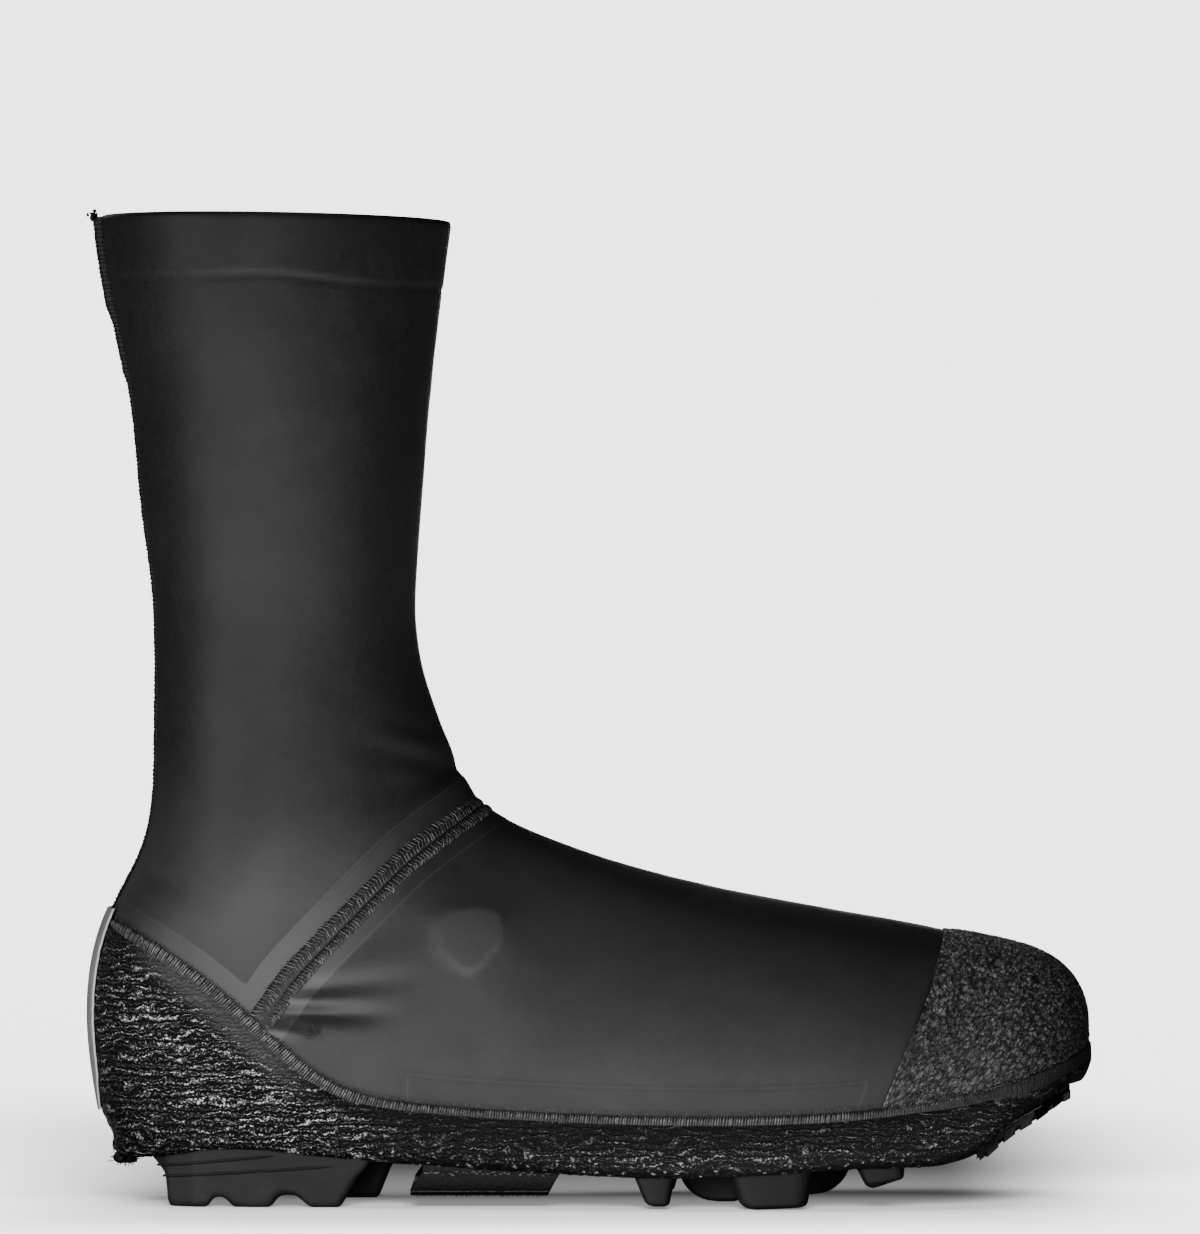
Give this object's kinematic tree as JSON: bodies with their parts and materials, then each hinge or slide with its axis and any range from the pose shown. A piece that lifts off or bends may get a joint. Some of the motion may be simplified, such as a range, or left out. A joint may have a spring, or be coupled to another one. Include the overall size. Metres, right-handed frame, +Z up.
{
  "type": "cycling overshoe",
  "caption": "Tall black stretch cycling overshoe for the right foot with textured rubber rand and toe cap, raised seams, heel reflector and arch strap, standing on the lugged sole it covers.",
  "frame": {"origin": "middle of the overshoe's length and width, on the plane that the lugs stand on", "axes": "+X along the shoe to the toe, -Y to the outer side of the right foot, +Z up from the floor"},
  "size_m": [0.2953, 0.1063, 0.2886],
  "materials": {
    "shell_fabric": "satin coated stretch knit",
    "rand_rubber": "glossy crackle grain",
    "seam_thread": "matt stitched thread",
    "reflective_film": "grey reflective film",
    "sole_rubber": "matt moulded rubber",
    "sole_plastic": "matt",
    "insole_foam": "fabric-faced foam",
    "strap_webbing": "fuzzy hook-and-loop webbing"
  },
  "bodies": {
    "root": {"upper": "shell_fabric", "rand": "rand_rubber", "toe_cap": "rand_rubber", "rand_seam": "seam_thread", "ankle_seam": "seam_thread", "back_seam": "seam_thread", "heel_tab": "seam_thread", "heel_reflector": "reflective_film", "arch_strap": "strap_webbing", "sole_plate": "sole_plastic", "insole": "insole_foam", "heel_lug_outer": "sole_rubber", "heel_lug_inner": "sole_rubber", "ball_lug_outer": "sole_rubber", "ball_lug_outer_back": "sole_rubber", "ball_lug_middle": "sole_rubber", "ball_lug_inner": "sole_rubber", "ball_lug_inner_back": "sole_rubber", "toe_lug_outer": "sole_rubber", "toe_lug_inner": "sole_rubber", "toe_tread": "sole_rubber"}
  },
  "joints": []
}
